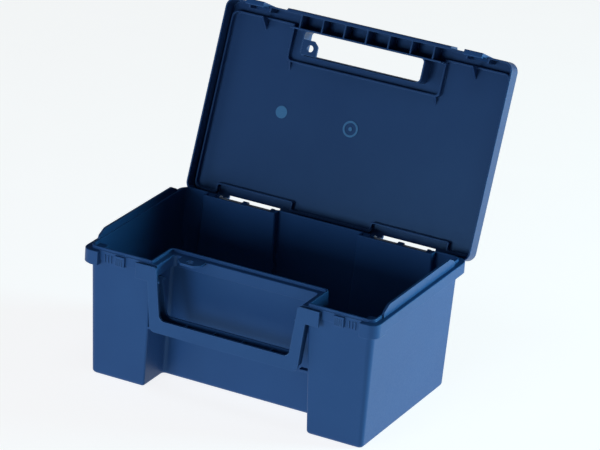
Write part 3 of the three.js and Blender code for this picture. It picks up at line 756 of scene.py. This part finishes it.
def gusset(side, x, front, length, bottom):
    """A triangular gusset that stands on the plate and leans against a rib at its front."""
    return pulled(rounded([
        (front, bottom, 0.3), (front + length, underside, 0.2), (front + length, underside + ROOT, 0.1),
        (front, underside + ROOT, 0.1),
    ], 3), *span(side, x - GUSSET / 2, x + GUSSET / 2), "X", 0.3)


def gussets(side):
    """One at the corner of the bay's rib, and a taller one behind the latch."""
    corner = INNER_RIB_HALF + INNER_RIB - GUSSET_INSET
    bay_rib = rib_plan["bay_back"] + INNER_RIB / 2
    return [
        gusset(side, corner, bay_rib, GUSSET_LENGTH, underside - INNER_RIB_HEIGHT),
        gusset(side, LATCH_CENTRE - LATCH_GUSSET_OFFSET, rib_plan["front"], LATCH_GUSSET_LENGTH, lid_bottom),
    ]


HOLE_INSET = 18.5  # from the bay's side in to the hand hole's end
HOLE_LENGTH = 23
HOLE_CORNER = 3.5
GRIP_BAR_WIDTH = 16.5
hole_half = BAY_WIDTH / 2 - HOLE_INSET
hole_front = lid_front + GRIP_BAR_WIDTH
hole_back = hole_front + HOLE_LENGTH


def hole_outline(inset):
    """The hand hole's plan, let out where inset is below nothing."""
    corner = HOLE_CORNER - inset
    x = hole_half - inset
    front = hole_front + inset
    back = hole_back - inset
    return rounded([(-x, front, corner), (x, front, corner), (x, back, corner), (-x, back, corner)])


def hand_hole():
    """The cutter for the hand hole, flared at the top to round the hole's edge."""
    flare = rounded([(0, lid_bottom - 1, 0), (0, lid_top, 0.9), (-2, lid_top, 0)], 4, closed=False)
    return sweep([*flare, (-2, lid_top + 2)], hole_outline)


GRIP_MARGIN = 5.6
GRIP_PROUD = 2
GRIP_RIBS = 7
GRIP_RIB_PITCH = 24.6
GRIP_RIB_WIDTH = 1.6
grip_reach = INNER_RIB_HALF + INNER_RIB
grip_half = grip_reach + GRIP_MARGIN
grip_top = lid_top - 1.2
wall_y = (hole_front - COLLAR, hole_front)
grip_nose = pulled(rounded([
    (lid_front - GRIP_PROUD, lid_bottom, 1.2), (lid_front + LID_SKIRT, lid_bottom, 0.5),
    (lid_front + LID_SKIRT, grip_top, 0.3), (lid_front - GRIP_PROUD, grip_top, 1.6),
]), -grip_half, grip_half, "X", 1)
low_half = BAY_WIDTH / 2 - CLEARANCE
over_rib = TUB_HEIGHT + SEAL_RIB_HEIGHT + CLEARANCE
low_wall = block((-low_half, low_half), wall_y, (lid_bottom, underside + ROOT), 0.4)
high_wall = block((-grip_reach, grip_reach), wall_y, (over_rib, underside + ROOT), 0.4)
grip_start = -(GRIP_RIBS - 1) / 2 * GRIP_RIB_PITCH
grip_rib = block(
    (grip_start - GRIP_RIB_WIDTH / 2, grip_start + GRIP_RIB_WIDTH / 2),
    (lid_front + LID_SKIRT / 2, hole_front - COLLAR / 2),
    (lid_bottom + 0.5, underside + ROOT),
    0.3,
)
grip_ribs = row(grip_rib, GRIP_RIBS, (GRIP_RIB_PITCH, 0, 0), lid_blue)
collar = sweep(rounded([
    (ROOT, lid_bottom, 0.5), (ROOT, underside + ROOT, 0.1),
    (-COLLAR, underside + ROOT, 0.1), (-COLLAR, lid_bottom, 0.5),
], 3), hole_outline, loop=True)

LATCH_WIDTH = 20
CHEEK = 2
TRUNNION = 3
LATCH_ROUND = 2.6
LATCH_DROP = 3  # from the lid's underside down to the latch's pivot
latch_y = lid_front + LATCH_ROUND
latch_z = underside - LATCH_DROP
pocket_half = LATCH_WIDTH / 2 + CLEARANCE
cheek_end = pocket_half + CHEEK
lug_end = HINGE_HALF + HINGE_LUG


def latch_pocket(side):
    """The gap in the skirt that a latch hangs in."""
    x = span(side, LATCH_CENTRE - pocket_half, LATCH_CENTRE + pocket_half)
    return block(x, (lid_front - 1, lid_front + LID_SKIRT + CLEARANCE), (lid_bottom - 1, underside), 0)


def latch_cheeks(side):
    """The two cheeks with the holes that a latch turns in."""
    starts = (LATCH_CENTRE - pocket_half - CHEEK, LATCH_CENTRE + pocket_half)
    return [block(
        span(side, x, x + CHEEK),
        (lid_front + LID_SKIRT / 2, WALL_FRONT - CLEARANCE),
        (lid_bottom, underside + ROOT),
        0.4,
    ) for x in starts]


def hinge_lugs(side):
    """The lugs that hang from the lid's back edge, one at each end of a hinge."""
    lugs = []
    for x in (HINGE_CENTRE - HINGE_HALF - HINGE_LUG, HINGE_CENTRE + HINGE_HALF):
        width = span(side, x, x + HINGE_LUG)
        lugs.append(pulled(circle(HINGE_Y, HINGE_Z, HINGE_BARREL), *width, "X", 0.4))
        lugs.append(block(width, (HINGE_Y - 2.5, lid_back), (HINGE_Z, lid_bottom + 2), 0.3))
    return lugs


def hinge_windows(side):
    """The gap in the lid's back edge where the tub's knuckle comes through."""
    x = span(side, HINGE_CENTRE - HINGE_HALF, HINGE_CENTRE + HINGE_HALF)
    return block(x, (HINGE_Y - 3.5, lid_back + 1), (HINGE_Z - HINGE_BARREL, lid_top + 1), 0)


eye_tip = EYE_Y - 8
eye_tab = pulled(rounded([
    (-hole_half - 0.5, hole_back + 0.5, 0.2), (-hole_half - 0.5, eye_tip, 0.3), (EYE_X + 3, eye_tip, 3),
    (EYE_X + 8, eye_tip + 5, 3), (EYE_X + 8, hole_back + 0.5, 0.2),
]), lid_bottom, lid_bottom + FLANGE_THICKNESS, "Z", 0.5)
shell = moulding(
    "shell",
    lid_tray(),
    [
        inner_rib(), *gussets(1), *gussets(-1), grip_nose, low_wall, high_wall, grip_ribs, collar,
        *hinge_lugs(1), *hinge_lugs(-1),
    ],
    [hand_hole(), *both(latch_pocket), *both(hinge_windows)],
)
lid = moulding(
    "lid_moulding",
    shell,
    [eye_tab, *latch_cheeks(1), *latch_cheeks(-1)],
    [
        *both(lambda side: pulled(
            circle(latch_y, latch_z, TRUNNION + CLEARANCE),
            *span(side, LATCH_CENTRE - cheek_end - 1, LATCH_CENTRE + cheek_end + 1), "X", 0,
        )),
        *both(lambda side: pulled(
            circle(HINGE_Y, HINGE_Z, PIN + 2 * PIN_PLAY),
            *span(side, HINGE_CENTRE - lug_end - 1, HINGE_CENTRE + lug_end + 1), "X", 0,
        )),
        pulled(circle(EYE_X, EYE_Y, EYE_DIAMETER), lid_bottom - 3, lid_bottom + 6, "Z", 0),
    ],
)
hinge = next(j for j in frame["joints"] if j["name"] == "lid_hinge")
pivot = Vector(hinge["pos_m"])
opened = (
    Matrix.Translation(pivot)
    @ Matrix.Rotation(-math.radians(hinge["range_deg"][1]), 4, "X")
    @ Matrix.Translation(-pivot)
)
lid.data.transform(opened)
finish_surface(lid, lid_blue)
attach(lid, "lid")
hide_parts("lid")

# ---- Pin marks inside the lid ----
# Where the mould's ejector pins and its gate met the lid's inner face, the plastic is burnished or stands as
# a thin ring. They are part of the same moulding, and have a smoother, paler face.


def disc(x, y, diameter, thickness):
    """A thin round pad on the lid's inner face."""
    return pulled(circle(x, y, diameter, 48), underside - thickness, underside + ROOT, "Z", thickness / 3)


burnished = polypropylene("burnished_polypropylene", "#41719d", "#4c80ab", 0.3, 0.02)
middle_y = HINGE_Y - 98
ring = moulding("ring", disc(-2, middle_y, 16.5, 0.6), (), [disc(-2, middle_y, 12.5, 2)])
marks = moulding("lid_pin_marks", disc(-80, middle_y, 12.6, 0.3), [ring, disc(-2, middle_y, 4, 0.8)])
marks.data.transform(opened)
finish_surface(marks, burnished)
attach(marks, "lid")

# ---- Latches ----
# Each latch is a small polypropylene lever, rounded at the top where it turns on its own trunnions, with a
# hook at the bottom that snaps under the tub's catch pad. With the lid open it hangs a little outwards.
LATCH_THICKNESS = 3
HOOK = 3
HOOK_GRIP = 2.3  # how far the hook reaches in under the catch pad
latch_blue = polypropylene("latch_polypropylene", "#224475", "#284d7e", 0.38, 0.06)
hook_top = CATCH_TOP - CATCH_HEIGHT - SEAT_GAP
hook_foot = hook_top - HOOK
lever_back = lid_front + LATCH_THICKNESS
hook_tip = ZONE_FACE - CATCH_PROUD + HOOK_GRIP
top_arc = []
for k in range(13):
    angle = math.pi * k / 12
    top_arc.append(Vector((latch_y + LATCH_ROUND * math.cos(angle), latch_z + LATCH_ROUND * math.sin(angle))))
lever = [*rounded([
    (lid_front, latch_z, 0), (lid_front, hook_foot, 1), (hook_tip, hook_foot, 1), (hook_tip, hook_top, 0.4),
    (lever_back, hook_top, 0.5), (lever_back, latch_z - LATCH_ROUND - 1, 0),
], 4, closed=False)[1:], *top_arc]
for side, hand in ((-1, "left"), (1, "right")):
    swing = next(j for j in frame["joints"] if j["name"] == f"latch_{hand}_swing")
    half = LATCH_WIDTH / 2
    reach = half + CLEARANCE + CHEEK - SEAT_GAP
    blade = pulled(lever, *span(side, LATCH_CENTRE - half, LATCH_CENTRE + half), "X", 0.4)
    trunnions = pulled(
        circle(latch_y, latch_z, TRUNNION), *span(side, LATCH_CENTRE - reach, LATCH_CENTRE + reach), "X", 0.3
    )
    latch = moulding(f"latch_lever_{hand}", blade, [trunnions])
    latch.data.transform(opened)
    at = Vector(swing["pos_m"])
    swung = (
        Matrix.Translation(at)
        @ Matrix.Rotation(math.radians(swing["range_deg"][0]), 4, "X")
        @ Matrix.Translation(-at)
    )
    latch.data.transform(swung)
    finish_surface(latch, latch_blue)
    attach(latch, f"latch_{hand}")
    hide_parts(f"latch_{hand}")

# ---- Floor and light ----
# A plain pale sweep of painted board, and cool soft lights: a strong one behind the right side, one in
# front, and weak ones at the left and overhead. What lies past the floor is pale, and gives little light.


def painted_board():
    """Matt grey studio board, evenly lit from within so that it looks pale."""
    material = bpy.data.materials.new("painted_board")
    material.use_nodes = True
    tree = material.node_tree
    place = add_node(tree, "ShaderNodeTexCoord").outputs["Object"]
    brush = add_node(tree, "ShaderNodeTexNoise", {"Scale": 14, "Detail": 3}, {"Vector": place})
    shade = add_node(tree, "ShaderNodeMix", {
        "data_type": "RGBA", 6: linear("#9fa0a1"), 7: linear("#a9a9a9"),
    }, {0: brush.outputs["Fac"]})
    surface = tree.nodes["Principled BSDF"]
    tree.links.new(shade.outputs[2], surface.inputs["Base Color"])
    surface.inputs["Roughness"].default_value = 0.8
    surface.inputs["Emission Color"].default_value = (1, 1, 1, 1)
    surface.inputs["Emission Strength"].default_value = 0.85
    return material


FLOOR_HALF = 12
floor_mesh = bmesh.new()
bmesh.ops.create_grid(floor_mesh, x_segments=1, y_segments=1, size=FLOOR_HALF / MM)
studio_floor = show(floor_mesh, "studio_floor")
studio_floor.data.materials.append(painted_board())


def soft_light(name, azimuth, height, distance, size, power, tint):
    """A square softbox aimed at the box."""
    data = bpy.data.lights.new(name, "AREA")
    data.size = size
    data.energy = power
    data.color = tint
    lamp = bpy.data.objects.new(name, data)
    a, e = math.radians(azimuth), math.radians(height)
    back = Vector((math.sin(a) * math.cos(e), -math.cos(a) * math.cos(e), math.sin(e)))
    lamp.location = Vector((0, 0, 0.12)) + back * distance
    lamp.rotation_euler = back.to_track_quat("Z", "Y").to_euler()
    bpy.context.scene.collection.objects.link(lamp)


soft_light("right_softbox", 118, 5, 1.8, 0.7, 44, (0.4, 0.92, 1))
soft_light("front_softbox", -15, 4, 2.0, 0.7, 16, (0.68, 0.84, 1))
soft_light("left_softbox", -55, 12, 2.0, 0.7, 4, (0.68, 0.84, 1))
soft_light("overhead_softbox", 20, 78, 1.6, 0.5, 2, (0.68, 0.84, 1))
world = bpy.data.worlds.new("studio")
bpy.context.scene.world = world
world.use_nodes = True
sky = world.node_tree.nodes["Background"]
sky.inputs["Color"].default_value = (0.95, 0.97, 1, 1)
seen = add_node(world.node_tree, "ShaderNodeLightPath").outputs["Is Camera Ray"]
level = add_node(world.node_tree, "ShaderNodeMapRange", {"To Min": 0.03, "To Max": 0.9}, {"Value": seen})
world.node_tree.links.new(level.outputs["Result"], sky.inputs["Strength"])
